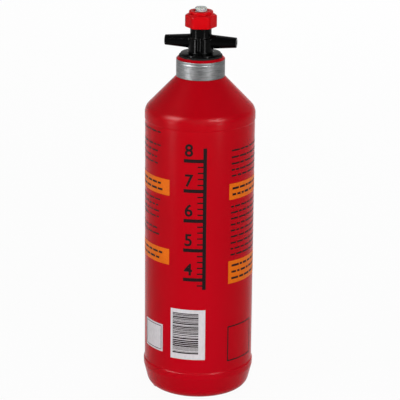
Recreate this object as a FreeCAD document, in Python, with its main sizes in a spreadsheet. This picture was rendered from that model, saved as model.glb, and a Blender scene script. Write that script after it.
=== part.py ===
import FreeCAD, Part
import math
import os
import re

import Sketcher

# Camping fuel bottle: a blow-moulded bottle closed by a screw plug that carries a press valve.
# Millimetres, +Z up, origin at the centre of the foot, spouts along X, panel front towards -Y.

# Driving dimensions

SIZES = {
    # Bottle shell
    "panel_radius": 39.6,
    "panel_height": 181.8,
    "foot_inset": 3.4,
    "foot_rounding": 8.0,
    "push_up_height": 2.4,
    "push_up_inset": 11.1,
    "push_up_slope": 12.0,
    "push_up_rounding": 4.0,
    "pinch_rib_width": 1.6,
    "pinch_rib_height": 0.8,
    "pinch_rib_angle": 33.5,
    "taper_height": 16.5,
    "taper_rounding": 3.0,
    "base_bead_stand": 0.7,
    "base_bead_height": 4.0,
    "bead_step_height": 0.9,
    "bead_rounding": 0.9,
    "shoulder_bead_stand": 0.3,
    "shoulder_bead_height": 7.2,
    "shoulder_rounding": 8.1,
    "cone_height": 23.4,
    "bottle_wall": 1.7,
    "neck_bore_radius": 13.5,
    "neck_wall": 2.95,
    "neck_root_rounding": 1.5,
    "lip_height": 1.5,
    "lip_taper": 1.5,
    "lip_rounding": 0.5,
    # Neck ring
    "ring_height": 12.9,
    "ring_wall": 1.0,
    "ring_clearance": 0.05,
    "ring_edge_rounding": 0.45,
    "ring_groove_drop": 1.9,
    "ring_groove_height": 0.9,
    "ring_groove_depth": 0.25,
    # Neck gasket
    "gasket_thickness": 1.1,
    "gasket_clearance": 0.25,
    # Valve body
    "thread_clearance": 1.3,
    "plug_length": 11.7,
    "plug_wall": 1.7,
    "plug_chamfer": 0.8,
    "core_depth": 9.0,
    "seat_land": 1.0,
    "seat_height": 0.5,
    "flange_inset": 3.1,
    "flange_web": 1.5,
    "flange_dome": 0.4,
    "flange_rounding": 0.35,
    "hub_step": 1.27,
    "hub_foot_rounding": 0.9,
    "hub_blend": 0.8,
    "collar_wall": 1.26,
    "shelf_rounding": 0.5,
    "collar_height": 9.3,
    "arm_rise": 8.1,
    "arm_over_shelf": 2.08,
    "arm_reach": 25.9,
    "arm_root_radius": 4.98,
    "arm_tip_radius": 3.67,
    "arm_tip_rounding": 0.5,
    "arm_bore_radius": 1.75,
    "flute_radius": 2.3,
    "flute_depth": 1.9,
    "flute_margin": 0.7,
    "flute_edge_rounding": 0.3,
    "passage_clearance": 0.5,
    "passage_wall": 2.2,
    "passage_headroom": 0.85,
    "guide_land": 1.0,
    "guide_clearance": 0.1,
    "gland_ledge": 0.55,
    # Stem ring and spring
    "o_ring_section": 1.5,
    "o_ring_clearance": 0.05,
    "gland_play": 0.2,
    "spring_seat_thickness": 0.6,
    "spring_seat_clearance": 0.1,
    "spring_wire": 0.8,
    "spring_clearance": 0.8,
    "spring_turns": 5,
    "spring_end_gap": 0.05,
    # Valve stem
    "stem_radius": 4.25,
    "stem_stub": 2.6,
    "stem_top_rounding": 0.9,
    "stem_flange_stand": 1.15,
    "stem_flange_height": 1.2,
    "spigot_step": 1.35,
    "spigot_tail": 1.2,
    "spigot_clearance": 0.05,
    # Seal, backing disc and clip
    "seal_overlap": 0.7,
    "seal_thickness": 2.1,
    "seal_washer_inset": 0.8,
    "seal_washer_thickness": 0.8,
    "clip_stand": 1.5,
    "clip_bite": 0.75,
    "clip_thickness": 0.6,
    "clip_play": 0.05,
    "clip_sweep": 280.0,
    # Knob and its washer
    "knob_wall": 2.3,
    "knob_edge_rounding": 3.4,
    "knob_height": 9.7,
    "knob_chamfer_inset": 1.4,
    "knob_chamfer_drop": 1.6,
    "knob_brow_rounding": 0.9,
    "knob_foot_rounding": 0.8,
    "knob_angle": 9.5,
    "boss_ledge": 0.25,
    "boss_height": 2.1,
    "boss_rounding": 0.7,
    "boss_recess_clearance": 1.35,
    "boss_recess_depth": 0.6,
    "skirt_overlap": 1.7,
    "skirt_depth": 6.3,
    "skirt_clearance": 0.34,
    "knob_bore_clearance": 0.15,
    "knob_washer_thickness": 1.0,
    "knob_washer_clearance": 0.2,
    # How far each cut runs past the solid that it opens
    "overrun": 1.0,
}

# Radii, leans and heights above the foot that follow from the driving dimensions

LEVELS = {
    # Bottle shell, outside
    "foot_radius": "panel_radius - foot_inset",
    "push_up_radius": "foot_radius - push_up_inset",
    "push_up_flat_radius": "push_up_radius - push_up_slope",
    "base_bead_radius": "panel_radius + base_bead_stand",
    "shoulder_bead_radius": "panel_radius + shoulder_bead_stand",
    "neck_radius": "neck_bore_radius + neck_wall",
    "ring_inner_radius": "neck_radius + ring_clearance",
    "lip_radius": "ring_inner_radius + ring_wall",
    "lip_top_radius": "lip_radius - lip_taper",
    "bead_top": "taper_height + base_bead_height",
    "panel_base": "bead_top + bead_step_height",
    "panel_top": "panel_base + panel_height",
    "shoulder_bead_base": "panel_top + bead_step_height",
    "shoulder_edge": "shoulder_bead_base + shoulder_bead_height",
    "neck_base": "shoulder_edge + cone_height",
    "ring_top": "neck_base + ring_height",
    "lip_top": "ring_top + lip_height",
    # Bottle shell, inside
    "taper_lean": "atan((base_bead_radius - foot_radius) / taper_height)",
    "cone_lean": "atan((shoulder_bead_radius - lip_radius) / cone_height)",
    "inner_radius": "panel_radius - bottle_wall",
    "inner_push_up": "push_up_height + bottle_wall",
    "inner_foot_radius": "foot_radius + bottle_wall * (tan(taper_lean) - 1 / cos(taper_lean))",
    "inner_taper_top": "(inner_radius - foot_radius + bottle_wall / cos(taper_lean)) / tan(taper_lean)",
    "bead_rise": "shoulder_bead_stand / tan(cone_lean)",
    "inner_shoulder": "shoulder_edge - bottle_wall * tan(cone_lean / 2) + bead_rise",
    "inner_neck_base": "inner_shoulder + (inner_radius - neck_bore_radius) / tan(cone_lean)",
    "inner_foot_rounding": "foot_rounding - bottle_wall",
    "inner_shoulder_rounding": "shoulder_rounding - bottle_wall",
    "mouth_overrun": "lip_top + overrun",
    "pinch_rib_base": "push_up_height - pinch_rib_height",
    # Neck ring
    "ring_groove_top": "ring_top - ring_groove_drop + ring_groove_height / 2",
    "ring_groove_middle": "ring_top - ring_groove_drop",
    "ring_groove_base": "ring_top - ring_groove_drop - ring_groove_height / 2",
    "ring_groove_radius": "lip_radius - ring_groove_depth",
    # Radii round the stem, from the inside out
    "stem_flange_radius": "stem_radius + stem_flange_stand",
    "passage_radius": "stem_flange_radius + passage_clearance",
    "seat_radius": "passage_radius + seat_land",
    "guide_radius": "stem_radius + guide_clearance",
    "o_ring_radius": "stem_radius + o_ring_clearance + o_ring_section / 2",
    "gland_radius": "o_ring_radius + o_ring_section / 2 + o_ring_clearance",
    "spring_chamber_radius": "gland_radius + gland_ledge",
    "collar_radius": "spring_chamber_radius + collar_wall",
    "hub_radius": "collar_radius + hub_step",
    # Valve body
    "plug_radius": "neck_bore_radius - thread_clearance",
    "core_inner_radius": "passage_radius + passage_wall",
    "core_outer_radius": "plug_radius - plug_wall",
    "flange_radius": "lip_radius - flange_inset",
    "gasket_top": "lip_top + gasket_thickness",
    "plug_base": "gasket_top - plug_length",
    "seat_base": "plug_base - seat_height",
    "core_top": "plug_base + core_depth",
    "core_overrun": "plug_base - overrun",
    "flange_top": "gasket_top + flange_web",
    "hub_foot": "flange_top + flange_dome",
    "arm_axis": "flange_top + arm_rise",
    "hub_shelf": "arm_axis + arm_root_radius - arm_over_shelf",
    "root_blend": "min(hub_blend; arm_over_shelf)",
    "collar_top": "hub_shelf + collar_height",
    "arm_taper": "(arm_root_radius - arm_tip_radius) / (arm_reach - hub_radius)",
    "arm_middle_top": "arm_axis + arm_root_radius + arm_taper * hub_radius",
    "arm_tip_top": "arm_axis + arm_tip_radius",
    "flute_axis_radius": "hub_radius - flute_depth + flute_radius",
    "flute_outer_radius": "flute_axis_radius + flute_radius",
    "flute_base": "hub_foot + flute_margin",
    "flute_top": "hub_shelf + flute_radius",
    "passage_top": "arm_axis + arm_bore_radius + passage_headroom",
    "gland_base": "passage_top + guide_land",
    "spring_floor": "gland_base + o_ring_section + gland_play",
    "seat_overrun": "seat_base - overrun",
    "collar_overrun": "collar_top + overrun",
    # Neck gasket
    "gasket_radius": "lip_top_radius - lip_rounding",
    "gasket_bore_radius": "plug_radius + gasket_clearance",
    # Stem ring, spring seat and spring
    "o_ring_middle": "gland_base + (o_ring_section + gland_play) / 2",
    "spring_seat_top": "spring_floor + spring_seat_thickness",
    "spring_seat_radius": "spring_chamber_radius - spring_seat_clearance",
    "spring_seat_bore_radius": "stem_radius + spring_seat_clearance",
    "spring_radius": "stem_radius + spring_clearance + spring_wire / 2",
    # Knob
    "knob_base": "collar_top - skirt_overlap",
    "knob_ceiling": "knob_base + skirt_depth",
    "knob_shoulder": "knob_base + knob_height",
    "knob_top": "knob_shoulder + boss_height",
    "skirt_radius": "collar_radius + skirt_clearance",
    "knob_side_radius": "skirt_radius + knob_wall",
    "knob_corner_radius": "knob_side_radius / cos(30)",
    "knob_chamfer_radius": "knob_side_radius - knob_chamfer_inset",
    "knob_bore_radius": "stem_radius + knob_bore_clearance",
    "boss_radius": "knob_chamfer_radius - boss_ledge",
    "boss_recess_radius": "stem_radius + boss_recess_clearance",
    "boss_recess_base": "knob_top - boss_recess_depth",
    "knob_overrun": "knob_top + overrun",
    "skirt_overrun": "knob_base - overrun",
    "chamfer_outer_radius": "knob_corner_radius + overrun",
    "chamfer_slope": "knob_chamfer_drop / (knob_corner_radius - knob_chamfer_radius)",
    "chamfer_base": "knob_shoulder - chamfer_slope * (chamfer_outer_radius - knob_chamfer_radius)",
    # Washer under the knob's ceiling
    "knob_washer_base": "knob_ceiling - knob_washer_thickness",
    "knob_washer_radius": "skirt_radius - knob_washer_clearance",
    "knob_washer_bore_radius": "stem_radius + knob_washer_clearance",
    # Valve stem and what hangs on its spigot
    "spigot_radius": "stem_radius - spigot_step",
    "stem_top": "knob_top + stem_stub",
    "stem_flange_top": "seat_base + stem_flange_height",
    "seal_radius": "seat_radius + seal_overlap",
    "seal_base": "seat_base - seal_thickness",
    "seal_washer_radius": "seal_radius - seal_washer_inset",
    "seal_washer_base": "seal_base - seal_washer_thickness",
    "clip_radius": "spigot_radius + clip_stand",
    "clip_top": "seal_washer_base - clip_play",
    "clip_base": "clip_top - clip_thickness",
    "clip_groove_base": "clip_base - clip_play",
    "clip_groove_radius": "spigot_radius - clip_bite",
    "clip_bore_radius": "clip_groove_radius + clip_play",
    "stem_base": "clip_groove_base - spigot_tail",
    "spigot_bore_radius": "spigot_radius + spigot_clearance",
}

FULL_TURN = 360
SAME_LENGTH = 1e-4
NODES = []

doc = FreeCAD.newDocument("fuel_bottle")


# The sheets

def with_references(formula):
    """Write each known name in a formula as a reference to its cell."""
    def reference(word):
        name = word.group()
        return cell(name) if name in SIZES or name in LEVELS else name

    return re.sub("[a-z_]+", reference, formula)


def cell(name):
    """Name the cell that holds a size or a level."""
    return f"Sizes.{name}" if name in SIZES else f"Levels.{name}"


def make_sheet(name, rows):
    """Write one alias and its content on each row of a new sheet."""
    sheet = doc.addObject("Spreadsheet::Sheet", name)
    for number, (alias, content) in enumerate(rows, start=1):
        sheet.set(f"A{number}", alias.replace("_", " "))
        sheet.set(f"B{number}", content)
        sheet.setAlias(f"B{number}", alias)
    doc.recompute()
    return sheet


sizes = make_sheet("Sizes", [(alias, str(number)) for alias, number in SIZES.items()])
levels = make_sheet("Levels", [(alias, "=" + with_references(text)) for alias, text in LEVELS.items()])


def value(name):
    """Read a size or a level as a plain number."""
    content = getattr(sizes if name in SIZES else levels, name)
    return float(getattr(content, "Value", content))


# Sketches and features

def new_body(label):
    """Start a sub-part whose label names its file."""
    body = doc.addObject("PartDesign::Body", label)
    body.Label = label
    body.Placement = FreeCAD.Placement()
    NODES.append(body)
    return body


def origin_plane(body, role):
    """Find one of the body's own origin planes or axes."""
    return next(plane for plane in body.Origin.OriginFeatures if plane.Role == role)


def new_sketch(body, name, role):
    """Attach an empty sketch to an origin plane of its body."""
    sketch = body.newObject("Sketcher::SketchObject", name)
    sketch.AttachmentSupport = [(origin_plane(body, role), "")]
    sketch.MapMode = "FlatFace"
    return sketch


def pin_point(sketch, line, end, across, up):
    """Tie one point of a sketch to a pair of names, where None means on that axis."""
    for kind, name, axis in (("DistanceX", across, -2), ("DistanceY", up, -1)):
        if name is None:
            sketch.addConstraint(Sketcher.Constraint("PointOnObject", line, end, axis))
            continue
        number = sketch.addConstraint(Sketcher.Constraint(kind, -1, 1, line, end, value(name)))
        sketch.setExpression(f"Constraints[{number}]", cell(name))


def corner_point(corner):
    """Place a corner, a pair of names, on the sketch plane."""
    across, up = corner
    return FreeCAD.Vector(value(across) if across else 0, value(up) if up else 0, 0)


def outline(body, name, role, corners):
    """Sketch a closed straight-sided outline whose corners are pairs of names."""
    sketch = new_sketch(body, name, role)
    points = [corner_point(corner) for corner in corners]
    count = len(points)
    for index in range(count):
        sketch.addGeometry(Part.LineSegment(points[index], points[(index + 1) % count]), False)
    for index, corner in enumerate(corners):
        sketch.addConstraint(Sketcher.Constraint("Coincident", index, 2, (index + 1) % count, 1))
        pin_point(sketch, index, 1, *corner)
    doc.recompute()
    return sketch


def revolve(body, name, corners, kind="PartDesign::Revolution"):
    """Turn an outline of radius and height pairs about the Z axis, as a solid or a cut."""
    sketch = outline(body, name + "_outline", "XZ_Plane", corners)
    return turn(body, name, sketch, "V_Axis", kind)


def turn(body, name, sketch, axis, kind="PartDesign::Revolution"):
    """Turn a sketch once about one of its own axes."""
    feature = body.newObject(kind, name)
    feature.Profile = sketch
    feature.ReferenceAxis = (sketch, [axis])
    feature.Angle = FULL_TURN
    doc.recompute()
    return feature


def groove(body, name, corners):
    """Cut a turned outline out of the body, and make sure that it took material away."""
    before = body.Shape.Volume
    feature = revolve(body, name, corners, "PartDesign::Groove")
    assert body.Shape.Volume < before, name
    return feature


def extrude(body, name, sketch, length, kind="PartDesign::Pad"):
    """Pad or pocket a sketch by a named length."""
    feature = body.newObject(kind, name)
    feature.Profile = sketch
    feature.setExpression("Length", cell(length))
    doc.recompute()
    return feature


def mirror(body, name, feature, role):
    """Repeat a feature on the other side of an origin plane."""
    other = body.newObject("PartDesign::Mirrored", name)
    other.Originals = [feature]
    other.MirrorPlane = (origin_plane(body, role), [""])
    body.Tip = other
    doc.recompute()
    return other


def edge_names(body, wanted):
    """Name the edges of the body's present shape that a test accepts."""
    edges = enumerate(body.Shape.Edges, start=1)
    return [f"Edge{number}" for number, edge in edges if wanted(edge)]


def ring_test(radius, height):
    """Make a test for the circular edge of a named radius at a named height, None being zero."""
    level = value(height) if height else 0

    def wanted(edge):
        curve = edge.Curve
        if not isinstance(curve, Part.Circle) or abs(curve.Axis.z) < math.cos(math.radians(1)):
            return False
        return math.isclose(curve.Radius, value(radius), abs_tol=SAME_LENGTH) and \
            math.isclose(curve.Center.z, level, abs_tol=SAME_LENGTH)

    return wanted


def dress(body, name, radius, wanted, kind="PartDesign::Fillet"):
    """Round or chamfer the edges that a test accepts by a named radius."""
    edges = edge_names(body, wanted)
    assert edges, name
    base = body.Tip
    feature = body.newObject(kind, name)
    feature.Base = (base, edges)
    feature.setExpression("Size" if kind == "PartDesign::Chamfer" else "Radius", cell(radius))
    doc.recompute()
    return feature


def round_rings(body, name, radius, *rings):
    """Round circular edges, each given as a radius and a height, by a named radius."""
    tests = [ring_test(*ring) for ring in rings]
    return dress(body, name, radius, lambda edge: any(test(edge) for test in tests))


def washer(label, bore, radius, base, top):
    """Make a flat ring as a turned sub-part."""
    body = new_body(label)
    revolve(body, "ring", [(bore, base), (radius, base), (radius, top), (bore, top)])
    return body


# Bottle and its neck ring

def bottle_shell():
    """Blow-moulded bottle: foot, taper, beads, panel, shoulder and neck, hollowed to an even wall."""
    body = new_body("bottle_shell")
    revolve(body, "skin", [
        (None, "push_up_height"),
        ("push_up_flat_radius", "push_up_height"),
        ("push_up_radius", None),
        ("foot_radius", None),
        ("base_bead_radius", "taper_height"),
        ("base_bead_radius", "bead_top"),
        ("panel_radius", "panel_base"),
        ("panel_radius", "panel_top"),
        ("shoulder_bead_radius", "shoulder_bead_base"),
        ("shoulder_bead_radius", "shoulder_edge"),
        ("lip_radius", "neck_base"),
        ("neck_radius", "neck_base"),
        ("neck_radius", "ring_top"),
        ("lip_radius", "ring_top"),
        ("lip_top_radius", "lip_top"),
        (None, "lip_top"),
    ])
    groove(body, "hollow", [
        (None, "inner_push_up"),
        ("push_up_flat_radius", "inner_push_up"),
        ("push_up_radius", "bottle_wall"),
        ("inner_foot_radius", "bottle_wall"),
        ("inner_radius", "inner_taper_top"),
        ("inner_radius", "inner_shoulder"),
        ("neck_bore_radius", "inner_neck_base"),
        ("neck_bore_radius", "mouth_overrun"),
        (None, "mouth_overrun"),
    ])
    round_rings(body, "foot_round", "foot_rounding", ("foot_radius", None))
    round_rings(body, "inner_foot_round", "inner_foot_rounding", ("inner_foot_radius", "bottle_wall"))
    round_rings(body, "push_up_round", "push_up_rounding",
                ("push_up_radius", None), ("push_up_flat_radius", "push_up_height"),
                ("push_up_radius", "bottle_wall"), ("push_up_flat_radius", "inner_push_up"))
    round_rings(body, "taper_round", "taper_rounding", ("base_bead_radius", "taper_height"))
    round_rings(body, "bead_round", "bead_rounding",
                ("base_bead_radius", "bead_top"), ("panel_radius", "panel_base"),
                ("panel_radius", "panel_top"), ("shoulder_bead_radius", "shoulder_bead_base"))
    round_rings(body, "shoulder_round", "shoulder_rounding", ("shoulder_bead_radius", "shoulder_edge"))
    round_rings(body, "inner_shoulder_round", "inner_shoulder_rounding", ("inner_radius", "inner_shoulder"))
    round_rings(body, "neck_root_round", "neck_root_rounding", ("neck_bore_radius", "inner_neck_base"))
    round_rings(body, "lip_round", "lip_rounding", ("lip_top_radius", "lip_top"))
    pinch_rib(body)


def pinch_rib(body):
    """Rib left across the push-up where the mould pinched the tube shut."""
    sketch = outline(body, "pinch_rib_outline", "XZ_Plane", [
        (None, "pinch_rib_base"),
        ("push_up_flat_radius", "pinch_rib_base"),
        ("push_up_flat_radius", "push_up_height"),
        (None, "push_up_height"),
    ])
    turned = FreeCAD.Rotation(FreeCAD.Vector(0, 1, 0), value("pinch_rib_angle"))
    sketch.AttachmentOffset = FreeCAD.Placement(FreeCAD.Vector(), turned)
    sketch.setExpression("AttachmentOffset.Rotation.Angle", cell("pinch_rib_angle"))
    rib = extrude(body, "pinch_rib", sketch, "pinch_rib_width")
    rib.Midplane = True
    pattern = body.newObject("PartDesign::PolarPattern", "whole_rib")
    pattern.Originals = [rib]
    pattern.Axis = (origin_plane(body, "Z_Axis"), [""])
    pattern.Angle = FULL_TURN
    pattern.Occurrences = 2
    body.Tip = pattern
    doc.recompute()


def neck_ring():
    """Turned steel band with rounded edges and a shallow groove under its upper edge."""
    body = new_body("neck_ring")
    revolve(body, "band", [
        ("ring_inner_radius", "neck_base"),
        ("lip_radius", "neck_base"),
        ("lip_radius", "ring_groove_base"),
        ("ring_groove_radius", "ring_groove_middle"),
        ("lip_radius", "ring_groove_top"),
        ("lip_radius", "ring_top"),
        ("ring_inner_radius", "ring_top"),
    ])
    round_rings(body, "edge_round", "ring_edge_rounding",
                ("lip_radius", "neck_base"), ("lip_radius", "ring_top"))


# Valve body

def valve_body():
    """Black moulding: screw plug, flange, fluted hub, collar and two hollow tapered spouts."""
    body = new_body("valve_body")
    revolve(body, "core", [
        (None, "seat_base"),
        ("seat_radius", "seat_base"),
        ("seat_radius", "plug_base"),
        ("plug_radius", "plug_base"),
        ("plug_radius", "gasket_top"),
        ("flange_radius", "gasket_top"),
        ("flange_radius", "flange_top"),
        ("hub_radius", "hub_foot"),
        ("hub_radius", "hub_shelf"),
        ("collar_radius", "hub_shelf"),
        ("collar_radius", "collar_top"),
        (None, "collar_top"),
    ])
    round_rings(body, "shelf_round", "shelf_rounding", ("hub_radius", "hub_shelf"))
    spout_arms(body)
    round_rings(body, "hub_foot_round", "hub_foot_rounding", ("hub_radius", "hub_foot"))
    round_rings(body, "flange_round", "flange_rounding", ("flange_radius", "flange_top"))
    dress(body, "plug_lead", "plug_chamfer", ring_test("plug_radius", "plug_base"), "PartDesign::Chamfer")
    hub_flutes(body)
    groove(body, "stem_way", [
        (None, "seat_overrun"),
        ("passage_radius", "seat_overrun"),
        ("passage_radius", "passage_top"),
        ("guide_radius", "passage_top"),
        ("guide_radius", "gland_base"),
        ("gland_radius", "gland_base"),
        ("gland_radius", "spring_floor"),
        ("spring_chamber_radius", "spring_floor"),
        ("spring_chamber_radius", "collar_overrun"),
        (None, "collar_overrun"),
    ])
    groove(body, "plug_coring", [
        ("core_inner_radius", "core_overrun"),
        ("core_outer_radius", "core_overrun"),
        ("core_outer_radius", "core_top"),
        ("core_inner_radius", "core_top"),
    ])
    spout_bores(body)


def spout_arms(body):
    """Two tapered arms on one cross axis, blended into the hub and the collar."""
    sketch = outline(body, "arm_outline", "XZ_Plane", [
        (None, "arm_axis"),
        ("arm_reach", "arm_axis"),
        ("arm_reach", "arm_tip_top"),
        (None, "arm_middle_top"),
    ])
    arm = turn(body, "arm", sketch, "Edge1")
    mirror(body, "other_arm", arm, "YZ_Plane")

    flare_edge = ring_test("collar_radius", "hub_shelf")

    def root_edge(edge):
        return flare_edge(edge) or not isinstance(edge.Curve, (Part.Circle, Part.Line))

    def tip_edge(edge):
        return math.isclose(max(abs(edge.BoundBox.XMin), abs(edge.BoundBox.XMax)), value("arm_reach")) \
            and isinstance(edge.Curve, Part.Circle)

    dress(body, "arm_tip_round", "arm_tip_rounding", tip_edge)
    dress(body, "arm_blend", "root_blend", root_edge)


def hub_flutes(body):
    """Flute down the front and the back of the hub, open at the shelf and run out in the collar."""
    sketch = new_sketch(body, "flute_outline", "YZ_Plane")
    corners = [("flute_axis_radius", "flute_base"), ("flute_outer_radius", "flute_base"),
               ("flute_outer_radius", "hub_shelf"), ("flute_axis_radius", "flute_top")]
    foot, foot_edge, shelf_edge, crown = [corner_point(corner) for corner in corners]
    centre = corner_point(("flute_axis_radius", "hub_shelf"))
    arch = Part.Circle(centre, FreeCAD.Vector(0, 0, 1), value("flute_radius"))
    for side in (Part.LineSegment(foot, foot_edge), Part.LineSegment(foot_edge, shelf_edge),
                 Part.ArcOfCircle(arch, 0, math.pi / 2), Part.LineSegment(crown, foot)):
        sketch.addGeometry(side, False)
    for index, corner in enumerate(corners):
        sketch.addConstraint(Sketcher.Constraint("Coincident", index, 2, (index + 1) % len(corners), 1))
        pin_point(sketch, index, 1, *corner)
    doc.recompute()
    before = body.Shape.Volume
    flute = turn(body, "flute", sketch, "Edge4", "PartDesign::Groove")
    mirror(body, "other_flute", flute, "XZ_Plane")
    assert body.Shape.Volume < before, "flutes"

    def flute_edge(edge):
        middle = edge.valueAt((edge.FirstParameter + edge.LastParameter) / 2)
        off_axis = math.hypot(middle.x, abs(middle.y) - value("flute_axis_radius"))
        return math.isclose(off_axis, value("flute_radius"), abs_tol=SAME_LENGTH) and \
            math.isclose(math.hypot(middle.x, middle.y), value("hub_radius"), abs_tol=SAME_LENGTH)

    dress(body, "flute_edge_round", "flute_edge_rounding", flute_edge)


def spout_bores(body):
    """Bore through both arms into the passage round the stem."""
    sketch = new_sketch(body, "bore_outline", "YZ_Plane")
    centre = FreeCAD.Vector(0, value("arm_axis"), 0)
    sketch.addGeometry(Part.Circle(centre, FreeCAD.Vector(0, 0, 1), value("arm_bore_radius")), False)
    pin_point(sketch, 0, 3, None, "arm_axis")
    number = sketch.addConstraint(Sketcher.Constraint("Radius", 0, value("arm_bore_radius")))
    sketch.setExpression(f"Constraints[{number}]", cell("arm_bore_radius"))
    doc.recompute()
    before = body.Shape.Volume
    bore = body.newObject("PartDesign::Pocket", "spout_bore")
    bore.Profile = sketch
    bore.Type = "ThroughAll"
    bore.Midplane = True
    doc.recompute()
    assert body.Shape.Volume < before, "spout bores"


# Stem and what moves with it

def valve_stem():
    """Plain round stem with a stop flange above the seal and a grooved spigot below it."""
    body = new_body("valve_stem")
    revolve(body, "stem", [
        (None, "stem_base"),
        ("spigot_radius", "stem_base"),
        ("spigot_radius", "clip_groove_base"),
        ("clip_groove_radius", "clip_groove_base"),
        ("clip_groove_radius", "seal_washer_base"),
        ("spigot_radius", "seal_washer_base"),
        ("spigot_radius", "seat_base"),
        ("stem_flange_radius", "seat_base"),
        ("stem_flange_radius", "stem_flange_top"),
        ("stem_radius", "stem_flange_top"),
        ("stem_radius", "stem_top"),
        (None, "stem_top"),
    ])
    round_rings(body, "stem_top_round", "stem_top_rounding", ("stem_radius", "stem_top"))


def retaining_clip():
    """Flat open ring that snaps into the spigot's groove."""
    disc = doc.addObject("Part::Cylinder", "clip_disc")
    disc.setExpression("Radius", cell("clip_radius"))
    disc.setExpression("Height", cell("clip_thickness"))
    disc.setExpression("Angle", cell("clip_sweep"))
    hole = doc.addObject("Part::Cylinder", "clip_hole")
    hole.setExpression("Radius", cell("clip_bore_radius"))
    hole.setExpression("Height", cell("clip_thickness"))
    clip = doc.addObject("Part::Cut", "retaining_clip")
    clip.Base = disc
    clip.Tool = hole
    clip.Label = "retaining_clip"
    clip.setExpression("Placement.Base.z", cell("clip_base"))
    NODES.append(clip)


# Ring and spring round the stem

def stem_o_ring():
    """Rubber ring in the gland above the passage."""
    ring = doc.addObject("Part::Torus", "stem_o_ring")
    ring.Label = "stem_o_ring"
    ring.setExpression("Radius1", cell("o_ring_radius"))
    ring.setExpression("Radius2", cell("o_ring_section") + " / 2")
    ring.setExpression("Placement.Base.z", cell("o_ring_middle"))
    NODES.append(ring)


def helix_point(share, radius, bottom, rise, turns):
    """Place a point of the wire's middle line and its direction there, at a share of its length."""
    angle = 2 * math.pi * turns * share
    point = FreeCAD.Vector(radius * math.cos(angle), radius * math.sin(angle), bottom + rise * share)
    along = FreeCAD.Vector(-math.sin(angle), math.cos(angle), rise / (2 * math.pi * turns * radius))
    return point, along.normalize()


def arc_from(start, along, end):
    """Draw the arc that leaves start in a direction and ends at end."""
    chord = end - start
    half_turn = chord.getAngle(along)
    side = along - chord * (along.dot(chord) / chord.dot(chord))
    bulge = side.normalize() * (chord.Length / 2 * math.tan(half_turn / 2))
    return Part.Arc(start, start + chord / 2 + bulge, end).toShape()


def biarc(start, start_along, end, end_along):
    """Join two points by two arcs that share a tangent and keep the given directions."""
    span = end - start
    both = span.dot(start_along + end_along)
    bend = 1 - start_along.dot(end_along)
    reach = (math.sqrt(both ** 2 + 2 * bend * span.dot(span)) - both) / (2 * bend)
    joint = (start + start_along * reach + end - end_along * reach) / 2
    second = arc_from(end, end_along * -1, joint)
    return [arc_from(start, start_along, joint), second.reversed()]


def return_spring():
    """Open wire spring between its seat and the knob's washer, one unbroken tube."""
    wire = value("spring_wire")
    turns = value("spring_turns")
    bottom = value("spring_seat_top") + value("spring_end_gap") + wire / 2
    rise = value("knob_washer_base") - value("spring_end_gap") - wire / 2 - bottom
    spans = int(round(turns * 4))
    stops = [helix_point(index / spans, value("spring_radius"), bottom, rise, turns)
             for index in range(spans + 1)]
    edges = []
    for (start, start_along), (end, end_along) in zip(stops, stops[1:]):
        edges += biarc(start, start_along, end, end_along)
    section = Part.Wire([Part.Circle(stops[0][0], stops[0][1], wire / 2).toShape()])
    pipe = Part.BRepOffsetAPI.MakePipeShell(Part.Wire(edges))
    pipe.add(section)
    pipe.build()
    pipe.makeSolid()
    spring = doc.addObject("Part::Feature", "return_spring")
    spring.Label = "return_spring"
    spring.Shape = pipe.shape()
    spring.Placement = FreeCAD.Placement()
    NODES.append(spring)
    print("spring gap to itself", round(least_gap(stops, spans / turns, wire), 2), "mm")


def least_gap(stops, stops_per_turn, wire):
    """Measure the least clear gap between points of the wire half a turn or more apart."""
    apart = int(stops_per_turn / 2)
    pairs = ((first, second) for first in range(len(stops)) for second in range(first + apart, len(stops)))
    return min((stops[first][0] - stops[second][0]).Length for first, second in pairs) - wire


# Knob

def knob():
    """Six-sided screw knob with rounded corners, a coned shoulder, a boss and a hollow skirt."""
    body = new_body("knob")
    sketch = hexagon(body)
    extrude(body, "prism", sketch, "knob_height")

    def corner_edge(edge):
        return isinstance(edge.Curve, Part.Line) and abs(edge.Curve.Direction.z) > math.cos(math.radians(1))

    def foot_edge(edge):
        return math.isclose(edge.CenterOfMass.z, value("knob_base"), abs_tol=SAME_LENGTH)

    dress(body, "corner_round", "knob_edge_rounding", corner_edge)
    dress(body, "foot_round", "knob_foot_rounding", foot_edge)
    groove(body, "shoulder_cone", [
        ("knob_chamfer_radius", "knob_shoulder"),
        ("chamfer_outer_radius", "chamfer_base"),
        ("chamfer_outer_radius", "knob_overrun"),
        ("knob_chamfer_radius", "knob_overrun"),
    ])

    def brow_edge(edge):
        return edge.BoundBox.ZMin > value("knob_base") + value("knob_foot_rounding") and \
            edge.BoundBox.ZMax < value("knob_shoulder") - value("knob_brow_rounding") / 2 and \
            not isinstance(edge.Curve, Part.Line)

    dress(body, "brow_round", "knob_brow_rounding", brow_edge)
    revolve(body, "boss", [
        (None, "knob_ceiling"),
        ("boss_radius", "knob_ceiling"),
        ("boss_radius", "knob_top"),
        (None, "knob_top"),
    ])
    round_rings(body, "boss_round", "boss_rounding", ("boss_radius", "knob_top"))
    groove(body, "stem_bore", [
        (None, "skirt_overrun"),
        ("skirt_radius", "skirt_overrun"),
        ("skirt_radius", "knob_ceiling"),
        ("knob_bore_radius", "knob_ceiling"),
        ("knob_bore_radius", "boss_recess_base"),
        ("boss_recess_radius", "boss_recess_base"),
        ("boss_recess_radius", "knob_overrun"),
        (None, "knob_overrun"),
    ])
    turned = FreeCAD.Rotation(FreeCAD.Vector(0, 0, 1), value("knob_angle"))
    body.Placement = FreeCAD.Placement(FreeCAD.Vector(), turned)
    body.setExpression("Placement.Rotation.Angle", cell("knob_angle"))
    doc.recompute()


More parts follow.
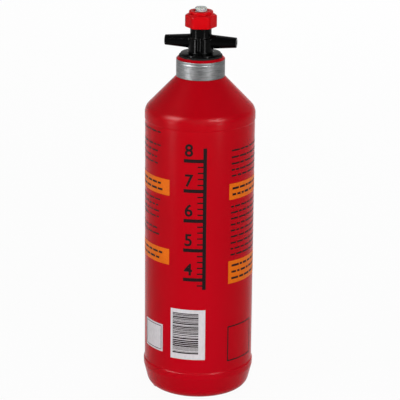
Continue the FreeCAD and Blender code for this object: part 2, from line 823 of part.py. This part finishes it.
def hexagon(body):
    """Sketch the knob's six sides with a flat towards -Y, at the height of its foot."""
    sketch = new_sketch(body, "prism_outline", "XY_Plane")
    corners = [FreeCAD.Vector(math.cos(math.radians(60 * index)), math.sin(math.radians(60 * index)), 0)
               * value("knob_corner_radius") for index in range(6)]
    for index in range(6):
        sketch.addGeometry(Part.LineSegment(corners[index], corners[(index + 1) % 6]), False)
    for index in range(6):
        sketch.addConstraint(Sketcher.Constraint("Coincident", index, 2, (index + 1) % 6, 1))
        if index:
            sketch.addConstraint(Sketcher.Constraint("Equal", 0, index))
    circle = Part.Circle(FreeCAD.Vector(), FreeCAD.Vector(0, 0, 1), value("knob_corner_radius"))
    ring = sketch.addGeometry(circle, True)
    sketch.addConstraint(Sketcher.Constraint("Coincident", ring, 3, -1, 1))
    for index in range(6):
        sketch.addConstraint(Sketcher.Constraint("PointOnObject", index, 1, ring))
    sketch.addConstraint(Sketcher.Constraint("PointOnObject", 0, 1, -1))
    number = sketch.addConstraint(Sketcher.Constraint("Radius", ring, value("knob_corner_radius")))
    sketch.setExpression(f"Constraints[{number}]", cell("knob_corner_radius"))
    sketch.AttachmentOffset = FreeCAD.Placement(FreeCAD.Vector(0, 0, value("knob_base")), FreeCAD.Rotation())
    sketch.setExpression("AttachmentOffset.Base.z", cell("knob_base"))
    doc.recompute()
    return sketch


# Assembly, from the foot up

bottle_shell()
neck_ring()
washer("neck_gasket", "gasket_bore_radius", "gasket_radius", "lip_top", "gasket_top")
valve_body()
stem_o_ring()
washer("spring_seat", "spring_seat_bore_radius", "spring_seat_radius", "spring_floor", "spring_seat_top")
return_spring()
valve_stem()
washer("poppet_seal", "spigot_bore_radius", "seal_radius", "seal_base", "seat_base")
washer("seal_washer", "spigot_bore_radius", "seal_washer_radius", "seal_washer_base", "seal_base")
retaining_clip()
washer("knob_washer", "knob_washer_bore_radius", "knob_washer_radius", "knob_washer_base", "knob_ceiling")
knob()
doc.recompute()

failed = [item.Label for item in doc.Objects if {"Invalid", "Error"} & set(item.State)]
assert not failed, failed
for node in NODES:
    assert not node.Shape.isNull() and node.Shape.isValid(), node.Label

os.makedirs("parts", exist_ok=True)
for node in NODES:
    node.Shape.exportStep(f"parts/{node.Label}.step")
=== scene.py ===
import math
import random

import bmesh
import bpy
from mathutils import Matrix, Vector
from mathutils.bvhtree import BVHTree


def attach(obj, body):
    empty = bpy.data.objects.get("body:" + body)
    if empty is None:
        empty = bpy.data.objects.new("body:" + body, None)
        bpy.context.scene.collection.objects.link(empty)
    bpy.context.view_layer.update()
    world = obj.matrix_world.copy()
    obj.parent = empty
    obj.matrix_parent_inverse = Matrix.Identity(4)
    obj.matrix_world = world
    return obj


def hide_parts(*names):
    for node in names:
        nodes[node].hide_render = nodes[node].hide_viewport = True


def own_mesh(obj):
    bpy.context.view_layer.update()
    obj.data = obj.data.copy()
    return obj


# Looks of the camping fuel bottle, in metres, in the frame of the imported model.
# Azimuths are in degrees from -Y towards +X, heights are above the foot.

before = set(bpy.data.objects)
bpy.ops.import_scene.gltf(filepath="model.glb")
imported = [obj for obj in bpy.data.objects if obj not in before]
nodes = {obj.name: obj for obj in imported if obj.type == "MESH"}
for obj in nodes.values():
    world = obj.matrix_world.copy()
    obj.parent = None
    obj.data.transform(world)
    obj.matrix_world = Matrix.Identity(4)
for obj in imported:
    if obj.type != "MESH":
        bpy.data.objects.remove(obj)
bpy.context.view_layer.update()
scene = bpy.context.scene

MM = 0.001
MICRON = 0.000001

PANEL_RADIUS = 39.6 * MM
PANEL_STEP = 1.0          # degrees between a print's vertices, so that it follows the round panel
INK_LIFT = 0.05 * MM      # how far each print lies off the panel
OVERPRINT_LIFT = 0.09 * MM
STICKER_LIFT = 0.1 * MM
STICKER_INK_LIFT = 0.13 * MM

NOISE_LOW, NOISE_HIGH = 0.3, 0.7                              # where most of a noise lies
MIX_FACTOR, MIX_FIRST, MIX_SECOND, MIX_RESULT = 0, 6, 7, 2    # a Mix node's colour sockets

PHOTO_PIXELS = 400


# Materials

def new_material(name, **constants):
    """Start a material and set the sockets that are the same all over the surface."""
    material = bpy.data.materials.new(name)
    material.use_nodes = True
    surface = surface_of(material)
    for socket, number in constants.items():
        surface.inputs[socket.replace("_", " ")].default_value = number
    return material


def surface_of(material):
    """Find the material's surface shader."""
    return material.node_tree.nodes["Principled BSDF"]


def grain(material, scale, stretch=(1, 1, 1), detail=3.0):
    """Noise over the piece's own coordinates, stretched along some of them."""
    tree = material.node_tree
    place = tree.nodes.new("ShaderNodeTexCoord")
    mapping = tree.nodes.new("ShaderNodeMapping")
    mapping.inputs["Scale"].default_value = stretch
    noise = tree.nodes.new("ShaderNodeTexNoise")
    noise.inputs["Scale"].default_value = scale
    noise.inputs["Detail"].default_value = detail
    tree.links.new(place.outputs["Object"], mapping.inputs["Vector"])
    tree.links.new(mapping.outputs["Vector"], noise.inputs["Vector"])
    return noise.outputs["Fac"]


def spread(material, height, low, high):
    """Stretch the middle of a noise to a range of values."""
    tree = material.node_tree
    span = tree.nodes.new("ShaderNodeMapRange")
    span.inputs["From Min"].default_value = NOISE_LOW
    span.inputs["From Max"].default_value = NOISE_HIGH
    span.inputs["To Min"].default_value = low
    span.inputs["To Max"].default_value = high
    tree.links.new(height, span.inputs["Value"])
    return span.outputs["Result"]


def colour(material, height, first, second):
    """Colour the surface between two colours by a noise."""
    tree = material.node_tree
    mix = tree.nodes.new("ShaderNodeMix")
    mix.data_type = "RGBA"
    mix.inputs[MIX_FIRST].default_value = (*first, 1)
    mix.inputs[MIX_SECOND].default_value = (*second, 1)
    tree.links.new(spread(material, height, 0, 1), mix.inputs[MIX_FACTOR])
    tree.links.new(mix.outputs[MIX_RESULT], surface_of(material).inputs["Base Color"])


def roughness(material, height, low, high):
    """Vary the surface's roughness between two values by a noise."""
    tree = material.node_tree
    tree.links.new(spread(material, height, low, high), surface_of(material).inputs["Roughness"])


def relief(material, *layers):
    """Lay bumps over each other, each a noise and its depth."""
    tree = material.node_tree
    below = None
    for height, depth in layers:
        bump = tree.nodes.new("ShaderNodeBump")
        bump.inputs["Strength"].default_value = 1
        bump.inputs["Distance"].default_value = depth
        tree.links.new(height, bump.inputs["Height"])
        if below:
            tree.links.new(below, bump.inputs["Normal"])
        below = bump.outputs["Normal"]
    tree.links.new(below, surface_of(material).inputs["Normal"])


def blown_plastic():
    """Red satin polyethylene with faint flow lines down the wall and a fine skin."""
    material = new_material("bottle_red", Specular_IOR_Level=0.045)
    patches = grain(material, scale=9, stretch=(1, 1, 0.35))
    streaks = grain(material, scale=1, stretch=(240, 240, 5))
    flow_lines = grain(material, scale=1, stretch=(160, 160, 4))
    skin = grain(material, scale=1900, detail=1)
    colour(material, patches, first=(0.41, 0.0003, 0.0045), second=(0.46, 0.0006, 0.0075))
    roughness(material, streaks, low=0.24, high=0.27)
    relief(material, (flow_lines, 8 * MICRON), (skin, 3 * MICRON))
    return material


def moulded_plastic(name, first, second, smoothest, level):
    """Injection-moulded plastic with a fine skin and slight flow marks."""
    material = new_material(name, Specular_IOR_Level=level)
    flow_marks = grain(material, scale=420, detail=1)
    skin = grain(material, scale=2600, detail=1)
    colour(material, grain(material, scale=120), first, second)
    roughness(material, grain(material, scale=260), low=smoothest, high=smoothest + 0.1)
    relief(material, (flow_marks, 12 * MICRON), (skin, 4 * MICRON))
    return material


def natural_plastic():
    """Unpigmented plastic that lets a little light in."""
    material = new_material("natural_plastic", Subsurface_Weight=0.2, Subsurface_Scale=0.0015,
                            Specular_IOR_Level=0.2)
    colour(material, grain(material, scale=300), first=(0.42, 0.44, 0.42), second=(0.50, 0.52, 0.50))
    roughness(material, grain(material, scale=420), low=0.28, high=0.4)
    relief(material, (grain(material, scale=1500, detail=1), 6 * MICRON))
    return material


def turned_steel():
    """Plated steel with the fine lines of the lathe round it."""
    material = new_material("turned_steel", Metallic=1.0)
    lines = grain(material, scale=1, stretch=(30, 30, 5200), detail=4)
    bands = grain(material, scale=1, stretch=(170, 170, 1500), detail=5)
    colour(material, bands, first=(0.07, 0.072, 0.074), second=(0.165, 0.168, 0.17))
    roughness(material, lines, low=0.38, high=0.52)
    relief(material, (lines, 50 * MICRON), (grain(material, scale=900), 4 * MICRON))
    return material


def drawn_wire():
    """Bright drawn wire with faint die marks."""
    material = new_material("spring_steel", Metallic=1.0)
    colour(material, grain(material, scale=700), first=(0.42, 0.42, 0.40), second=(0.60, 0.60, 0.58))
    roughness(material, grain(material, scale=1500), low=0.22, high=0.34)
    relief(material, (grain(material, scale=3000), 4 * MICRON))
    return material


def rubber():
    """Black seal rubber with a dull bloom."""
    material = new_material("rubber", Specular_IOR_Level=0.08)
    colour(material, grain(material, scale=350), first=(0.005, 0.005, 0.005),
           second=(0.013, 0.013, 0.0125))
    roughness(material, grain(material, scale=900), low=0.6, high=0.8)
    relief(material, (grain(material, scale=2200), 10 * MICRON))
    return material


def ink(name, first, second):
    """Screen-print ink, thinner in places."""
    material = new_material(name, Specular_IOR_Level=0.08)
    colour(material, grain(material, scale=900, detail=5), first, second)
    roughness(material, grain(material, scale=600), low=0.38, high=0.5)
    relief(material, (grain(material, scale=2500), 4 * MICRON))
    return material


def paper():
    """White label stock with a faint fibre."""
    material = new_material("label_paper", Specular_IOR_Level=0.15)
    fibre = grain(material, scale=700, stretch=(1, 1, 0.4))
    colour(material, fibre, first=(0.57, 0.54, 0.56), second=(0.65, 0.62, 0.64))
    roughness(material, grain(material, scale=800), low=0.42, high=0.55)
    relief(material, (grain(material, scale=1600), 6 * MICRON))
    return material


red_skin = blown_plastic()
knob_red = moulded_plastic("knob_red", first=(0.54, 0.0006, 0.003), second=(0.60, 0.0012, 0.005),
                           smoothest=0.25, level=0.03)
black = moulded_plastic("moulded_black", first=(0.0005, 0.0005, 0.0007), second=(0.0016, 0.0016, 0.0016),
                        smoothest=0.1, level=0.04)
natural = natural_plastic()
steel = turned_steel()
wire = drawn_wire()
seal = rubber()
black_ink = ink("black_ink", first=(0.006, 0.002, 0.003), second=(0.014, 0.004, 0.005))
orange_ink = ink("orange_ink", first=(0.67, 0.12, 0.001), second=(0.75, 0.155, 0.002))
label_paper = paper()

FINISHES = {
    "bottle_shell": red_skin,
    "neck_ring": steel,
    "neck_gasket": seal,
    "valve_body": black,
    "stem_o_ring": seal,
    "spring_seat": steel,
    "return_spring": wire,
    "valve_stem": natural,
    "poppet_seal": seal,
    "seal_washer": steel,
    "retaining_clip": wire,
    "knob_washer": natural,
    "knob": knob_red,
}
for node, finish in FINISHES.items():
    nodes[node].data.materials.clear()
    nodes[node].data.materials.append(finish)


# Pieces

def polar(radius, azimuth, height):
    """Place a point round the bottle's axis."""
    turn = math.radians(azimuth)
    return radius * math.sin(turn), -radius * math.cos(turn), height


def smooth_step(share):
    """Ease from 0 to 1."""
    share = min(1, max(0, share))
    return share * share * (3 - 2 * share)


def tube_faces(sides, count):
    """Join the rings of a tube, each with the same number of sides, and close its two ends."""
    faces = []
    for index in range(count):
        for side in range(sides):
            corner, other = sides * index + side, sides * index + (side + 1) % sides
            faces.append((corner, corner + sides, other + sides, other))
    faces.append(tuple(range(sides)))
    faces.append(tuple(sides * count + side for side in reversed(range(sides))))
    return faces


def add_piece(name, vertices, faces, finish, body):
    """Make a smooth piece that rides on a body."""
    mesh = bpy.data.meshes.new(name)
    mesh.from_pydata(vertices, [], faces)
    mesh.polygons.foreach_set("use_smooth", [True] * len(mesh.polygons))
    mesh.materials.append(finish)
    mesh.validate()
    piece = bpy.data.objects.new(name, mesh)
    scene.collection.objects.link(piece)
    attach(piece, body)
    return piece


# Prints on the panel: azimuths in degrees, heights in millimetres

class Sheet:
    """Patches that lie on the panel, gathered into one piece."""

    def __init__(self, lift):
        self.radius = PANEL_RADIUS + lift
        self.vertices = []
        self.faces = []

    def patch(self, left, right, low, high):
        """Lay a rectangle between two azimuths and two heights."""
        count = max(1, math.ceil((right - left) / PANEL_STEP))
        start = len(self.vertices)
        for index in range(count + 1):
            azimuth = left + (right - left) * index / count
            self.vertices.append(polar(self.radius, azimuth, low * MM))
            self.vertices.append(polar(self.radius, azimuth, high * MM))
        for index in range(count):
            corner = start + 2 * index
            self.faces.append((corner, corner + 2, corner + 3, corner + 1))

    def bar(self, left, right, height, thickness):
        """Rule a line between two azimuths, with its middle at a height."""
        self.patch(left, right, height - thickness / 2, height + thickness / 2)

    def figures(self, text, azimuth, height, size, weight):
        """Lay plain figures with their middle at an azimuth and a height."""
        curve = bpy.data.curves.new("figures", "FONT")
        curve.body = text
        curve.size = size
        curve.offset = weight
        curve.align_x = "CENTER"
        curve.align_y = "CENTER"
        curve.resolution_u = 6
        flat = bpy.data.objects.new("figures", curve)
        scene.collection.objects.link(flat)
        shape = bmesh.new()
        graph = bpy.context.evaluated_depsgraph_get()
        shape.from_mesh(flat.evaluated_get(graph).to_mesh())
        bpy.data.objects.remove(flat)
        step = self.radius * math.radians(PANEL_STEP)
        reach = max(abs(vertex.co.x) for vertex in shape.verts)
        for index in range(-int(reach / step), int(reach / step) + 1):
            everything = shape.verts[:] + shape.edges[:] + shape.faces[:]
            bmesh.ops.bisect_plane(shape, geom=everything, plane_co=(index * step, 0, 0), plane_no=(1, 0, 0))
        shape.verts.index_update()
        start = len(self.vertices)
        for vertex in shape.verts:
            turn = azimuth + math.degrees(vertex.co.x / self.radius)
            self.vertices.append(polar(self.radius, turn, height * MM + vertex.co.y))
        for face in shape.faces:
            self.faces.append(tuple(start + vertex.index for vertex in face.verts))
        shape.free()

    def finish(self, name, finish):
        """Make the piece, riding on the bottle."""
        add_piece(name, self.vertices, self.faces, finish, "bottle")


def word_lines(sheet, rng, left, right, heights, thickness):
    """Rule each height with bars as long as words."""
    shortest, longest, gap, least_room = 3.5, 11, 1.6, 4
    for height in heights:
        azimuth = left
        while azimuth < right - least_room:
            length = min(rng.uniform(shortest, longest), right - azimuth)
            sheet.bar(azimuth, azimuth + length, height, thickness)
            azimuth += length + gap


def orange_blocks():
    """Plain blocks of ink, two on each side."""
    left_side, right_side = (-96, -23), (42, 112)
    blocks = Sheet(INK_LIFT)
    blocks.patch(*left_side, 154.6, 166.4)
    blocks.patch(*left_side, 102.8, 114.6)
    blocks.patch(*right_side, 151.8, 163.7)
    blocks.patch(*right_side, 88.6, 105.7)
    blocks.finish("orange_blocks", orange_ink)


def ruled_lines(rng):
    """Ruled bars in the places of the texts on the bare panel."""
    left_side, right_side = (-94, -35), (44.5, 110)
    lines = Sheet(INK_LIFT)
    word_lines(lines, rng, *left_side, (200.0, 190.3, 185.8, 181.3, 176.8), 1.1)
    word_lines(lines, rng, *left_side, (150.0, 145.6, 141.2, 136.8, 128.3, 123.9), 1.1)
    word_lines(lines, rng, *right_side, (188.2, 183.2, 178.4, 173.8, 169.4), 1.2)
    word_lines(lines, rng, *right_side,
               (146.5, 142.0, 137.6, 133.0, 128.5, 124.0, 119.2, 114.8, 110.3), 1.2)
    lines.finish("ruled_lines", black_ink)


def block_lines(rng):
    """Ruled bars in the places of the texts on the orange blocks."""
    left_side, right_side = (-92, -32), (46, 106)
    lines = Sheet(OVERPRINT_LIFT)
    word_lines(lines, rng, *left_side, (162.6, 158.2), 1.5)
    word_lines(lines, rng, *left_side, (110.8, 106.4), 1.5)
    word_lines(lines, rng, *right_side, (160.0, 155.5), 1.6)
    word_lines(lines, rng, *right_side, (102.0, 97.2, 92.4), 1.6)
    lines.finish("block_lines", black_ink)


def fill_scale():
    """Plain scale with five figures, each with its bar, and four marks between the bars."""
    lowest, pitch, below_lowest = 93.5, 22.15, 4.43
    first_figure, figure_count, mark_count, marks_per_figure = 4, 5, 22, 5
    figure_azimuth, figure_rise = -1.6, 7.2
    spine_left, spine_right = 13.2, 17.0
    scale = Sheet(INK_LIFT)
    scale.patch(spine_left, spine_right, 86.0, 191.5)
    for index in range(mark_count):
        height = lowest - below_lowest + index * pitch / marks_per_figure
        if index % marks_per_figure != 1:
            scale.bar(7.5, spine_left, height, thickness=1.0)
    for index in range(figure_count):
        height = lowest + index * pitch
        scale.bar(-7.0, spine_left, height, thickness=2.6)
        scale.figures(str(first_figure + index), figure_azimuth, height + figure_rise,
                      size=12.5 * MM, weight=0.25 * MM)
    scale.finish("fill_scale", black_ink)


def stickers(rng):
    """A striped sticker, and a smaller one with an empty frame."""
    paper_sheet = Sheet(STICKER_LIFT)
    paper_sheet.patch(-20.6, 16.9, 32.0, 70.4)
    paper_sheet.patch(-62.0, -31.0, 34.8, 55.8)
    paper_sheet.finish("blank_stickers", label_paper)

    stripes = Sheet(STICKER_INK_LIFT)
    stripes_left, stripes_right = -18.2, 9.8
    height, stripes_top = 36.4, 67.2
    while height < stripes_top:
        thick = rng.choice((0.35, 0.35, 0.7, 1.05))
        stripes.patch(stripes_left, stripes_right, height, height + thick)
        height += thick + rng.choice((0.35, 0.35, 0.7))
    for low, high in ((36.0, 36.5), (54.1, 54.6)):
        stripes.patch(-60.2, -32.8, low, high)
    for left, right in ((-60.2, -59.5), (-33.5, -32.8)):
        stripes.patch(left, right, 36.0, 54.6)
    stripes.finish("sticker_stripes", black_ink)


def empty_field():
    """An empty frame printed on the panel."""
    field = Sheet(INK_LIFT)
    for low, high in ((28.8, 29.7), (55.0, 55.9)):
        field.patch(42.0, 81.0, low, high)
    for left, right in ((42.0, 43.3), (79.7, 81.0)):
        field.patch(left, right, 29.7, 55.0)
    field.finish("empty_field", black_ink)


draws = random.Random(5)
orange_blocks()
ruled_lines(draws)
block_lines(draws)
fill_scale()
stickers(draws)
empty_field()


# Seam

def seam_rays(azimuth):
    """Aim at the skin from outside: from below round the foot's corner, then level up the wall."""
    fan_height, fan_steps, fan_drop = 12.0, 24, math.radians(20)
    wall_top, wall_step, far = 233.6, 1.6, 70 * MM
    for index in range(fan_steps):
        drop = fan_drop * (1 - index / fan_steps)
        middle = Vector((0, 0, fan_height * MM))
        out = Vector(polar(math.cos(drop), azimuth, -math.sin(drop)))
        yield middle + out * far, -out
    height = fan_height
    while height < wall_top:
        out = Vector(polar(1, azimuth, 0))
        yield out * far + Vector((0, 0, height * MM)), -out
        height += wall_step


def parting_line(name, azimuth):
    """Faint ridge where the mould's halves met, swollen where the foot turns under."""
    half_width, sunk, rise, swell = 0.35 * MM, -0.03 * MM, 0.04 * MM, 0.45 * MM
    swell_height, run_out_height, run_out = 1.4 * MM, 233 * MM, 8 * MM
    crest_share, columns = 0.3, 4
    skin = BVHTree.FromObject(nodes["bottle_shell"], bpy.context.evaluated_depsgraph_get())
    across = Vector(polar(1, azimuth + 90, 0))
    vertices, faces = [], []
    for start, aim in seam_rays(azimuth):
        place, normal, _, _ = skin.ray_cast(start, aim)
        bulge = swell * smooth_step(1 - abs(place.z - swell_height) / swell_height)
        crest = (rise + bulge) * smooth_step((run_out_height - place.z) / run_out)
        width = half_width * (1 + bulge / swell)
        for side, lift in ((-1, sunk), (-crest_share, crest), (crest_share, crest), (1, sunk)):
            vertices.append(place + across * (side * width) + normal * lift)
    for row in range(0, len(vertices) - columns, columns):
        for corner in range(row, row + columns - 1):
            faces.append((corner, corner + 1, corner + columns + 1, corner + columns))
    add_piece(name, vertices, faces, red_skin, "bottle")


parting_line("left_seam", azimuth=-56.5)
parting_line("right_seam", azimuth=123.5)


# Threads: radii and heights in millimetres

def thread(name, root, crest, low, turns, finish, body):
    """Lay a screw ridge on a round wall, its ends running out into the wall."""
    pitch, steps, run_outs_per_turn = 4.0, 60, 5
    corners, foot_half, crest_half = 4, 0.9, 0.45
    count = int(turns * steps)
    vertices = []
    for index in range(count + 1):
        turned = index / steps
        run_out = smooth_step(turned * run_outs_per_turn) * smooth_step((turns - turned) * run_outs_per_turn)
        top = root + (crest - root) * run_out
        middle = low + pitch * turned
        for radius, offset in ((root, -foot_half), (top, -crest_half), (top, crest_half), (root, foot_half)):
            vertices.append(polar(radius * MM, 360 * turned, (middle + offset) * MM))
    add_piece(name, vertices, tube_faces(corners, count), finish, body)


thread("plug_thread", root=12.15, crest=13.1, low=240.4, turns=2.0,
       finish=black, body="cap")
thread("neck_thread", root=13.55, crest=12.6, low=238.4, turns=2.2,
       finish=red_skin, body="bottle")


# Spring

def return_spring():
    """Round-wire spring with closed ends, as tall as the space between its seat and the washer."""
    low, high, radius, section = 265.75, 275.55, 5.45, 0.4
    turns, closed, steps, sides = 6.5, 0.75, 48, 12
    closed_gap = 1.02
    flat = 2 * section * closed_gap
    rise = high - low - 2 * section
    count = int(turns * steps)
    vertices = []
    for index in range(count + 1):
        turned = turns * index / count
        first = min(turned, closed) * flat
        last = max(0, turned - turns + closed) * flat
        middle = min(max(turned - closed, 0), turns - 2 * closed)
        climb = first + last + middle * (rise - 2 * closed * flat) / (turns - 2 * closed)
        for side in range(sides):
            turn = 2 * math.pi * side / sides
            out = radius + section * math.cos(turn)
            up = low + section + climb + section * math.sin(turn)
            vertices.append(polar(out * MM, 360 * turned, up * MM))
    spring = add_piece("wire_spring", vertices, tube_faces(sides, count), wire, "cap")
    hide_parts("return_spring")
    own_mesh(spring)


return_spring()


# Floor, light and camera

def outward(turn, lift):
    """Point away from the bottle, by an azimuth and an elevation in radians."""
    return Vector((math.sin(turn) * math.cos(lift), -math.cos(turn) * math.cos(lift), math.sin(lift)))


def maths(tree, operation):
    """Add a Math node."""
    node = tree.nodes.new("ShaderNodeMath")
    node.operation = operation
    return node


def background_rays(tree, share):
    """Give a share to the rays that show the background: straight, mirrored or through glass."""
    path = tree.nodes.new("ShaderNodeLightPath")
    mirrored = maths(tree, "MAXIMUM")
    through = maths(tree, "MAXIMUM")
    scaled = maths(tree, "MULTIPLY")
    scaled.inputs[1].default_value = share
    tree.links.new(path.outputs["Is Camera Ray"], mirrored.inputs[0])
    tree.links.new(path.outputs["Is Glossy Ray"], mirrored.inputs[1])
    tree.links.new(mirrored.outputs[0], through.inputs[0])
    tree.links.new(path.outputs["Is Transmission Ray"], through.inputs[1])
    tree.links.new(through.outputs[0], scaled.inputs[0])
    return scaled.outputs[0]


def show_background(tree, share, lit, shown, output):
    """Show one shader to the background's rays, and light the object with the other."""
    mix = tree.nodes.new("ShaderNodeMixShader")
    tree.links.new(background_rays(tree, share), mix.inputs[0])
    tree.links.new(lit.outputs[0], mix.inputs[1])
    tree.links.new(shown.outputs[0], mix.inputs[2])
    tree.links.new(mix.outputs[0], tree.nodes[output].inputs["Surface"])


def studio_world(level, horizon, overhead):
    """Faint even light from all round, which shows white at the horizon and a grey above."""
    fade_low, fade_high = 0.03, 0.09
    world = bpy.data.worlds.new("studio")
    world.use_nodes = True
    tree = world.node_tree
    light = tree.nodes["Background"]
    light.inputs["Color"].default_value = (level, level, level, 1)
    pale = tree.nodes.new("ShaderNodeBackground")
    pale.inputs["Color"].default_value = (1, 1, 1, 1)
    direction = tree.nodes.new("ShaderNodeTexCoord")
    parts = tree.nodes.new("ShaderNodeSeparateXYZ")
    fade = tree.nodes.new("ShaderNodeMapRange")
    fade.inputs["From Min"].default_value = fade_low
    fade.inputs["From Max"].default_value = fade_high
    fade.inputs["To Min"].default_value = horizon
    fade.inputs["To Max"].default_value = overhead
    tree.links.new(direction.outputs["Generated"], parts.inputs["Vector"])
    tree.links.new(parts.outputs["Z"], fade.inputs["Value"])
    tree.links.new(fade.outputs["Result"], pale.inputs["Strength"])
    show_background(tree, 1, light, pale, "World Output")
    scene.world = world


def studio_floor(radius, grey, white_share):
    """Plain pale floor that shows white behind the object and keeps a soft shadow."""
    disc = bmesh.new()
    bmesh.ops.create_circle(disc, cap_ends=True, radius=radius, segments=96)
    mesh = bpy.data.meshes.new("floor")
    disc.to_mesh(mesh)
    disc.free()
    floor = bpy.data.objects.new("floor", mesh)
    scene.collection.objects.link(floor)
    material = new_material("floor", Base_Color=(grey, grey, grey, 1), Roughness=0.9, Specular_IOR_Level=0.1)
    tree = material.node_tree
    white = tree.nodes.new("ShaderNodeEmission")
    show_background(tree, white_share, surface_of(material), white, "Material Output")
    mesh.materials.append(material)


def softbox(name, azimuth, elevation, distance, width, height, power, lights=True, shines=True):
    """Hang a soft lamp that faces the bottle and lights it, shines in its gloss, or both."""
    aim = Vector((0, 0, 0.15))
    lamp = bpy.data.lights.new(name, "AREA")
    lamp.shape = "RECTANGLE"
    lamp.size = width
    lamp.size_y = height
    lamp.energy = power
    out = outward(math.radians(azimuth), math.radians(elevation))
    holder = bpy.data.objects.new(name, lamp)
    holder.location = aim + out * distance
    holder.rotation_euler = out.to_track_quat("Z", "Y").to_euler()
    holder.visible_camera = False
    holder.visible_diffuse = lights
    holder.visible_glossy = shines
    scene.collection.objects.link(holder)


def photo_camera():
    """Stand the camera where the photograph was taken from."""
    azimuth, elevation, roll, distance = math.radians(9.5), 0.29997, 0.00943, 1.53184
    aim = Vector((0, 0, 0.1414))
    sensor, focal_pixels, shift_pixels, view_end = 36, 2102.6, 0.68, 50
    back = outward(azimuth, elevation)
    across = Vector((math.cos(azimuth), math.sin(azimuth), 0))
    upward = back.cross(across)
    right = across * math.cos(roll) + upward * math.sin(roll)
    upright = upward * math.cos(roll) - across * math.sin(roll)
    data = bpy.data.cameras.new("camera")
    data.sensor_width = sensor
    data.lens = sensor * focal_pixels / PHOTO_PIXELS
    data.shift_x = shift_pixels / PHOTO_PIXELS
    data.clip_end = view_end
    camera = bpy.data.objects.new("camera", data)
    turned = Matrix((right, upright, back)).transposed().to_4x4()
    camera.matrix_world = Matrix.Translation(aim + back * distance) @ turned
    scene.collection.objects.link(camera)
    scene.camera = camera


studio_floor(radius=40, grey=0.6, white_share=0.95)

# Lamps with shines=False light the part and don't show in its gloss. Those with lights=False only show
# in its gloss, and make its highlights.
softbox("front_box", azimuth=24, elevation=20, distance=1.7, width=2.2, height=1.5, power=28.5,
        shines=False)
softbox("left_box", azimuth=-51, elevation=35, distance=1.0, width=0.46, height=0.5, power=25,
        lights=False)
softbox("left_low_box", azimuth=-47, elevation=8, distance=0.25, width=0.03, height=0.05, power=0.12,
        lights=False)
softbox("right_low_box", azimuth=47, elevation=8, distance=0.25, width=0.03, height=0.05, power=0.12,
        lights=False)
softbox("left_strip", azimuth=-47, elevation=7, distance=0.8, width=0.05, height=0.5, power=2)
softbox("right_box", azimuth=48, elevation=33, distance=1.3, width=0.5, height=0.45, power=30,
        lights=False)
softbox("back_box", azimuth=190, elevation=60, distance=1.7, width=2.2, height=1.4, power=8.5)
softbox("back_fill", azimuth=172, elevation=20, distance=1.7, width=2.2, height=1.5, power=24,
        shines=False)
studio_world(level=0.1, horizon=0.97, overhead=0.48)
scene.view_settings.view_transform = "Standard"
photo_camera()
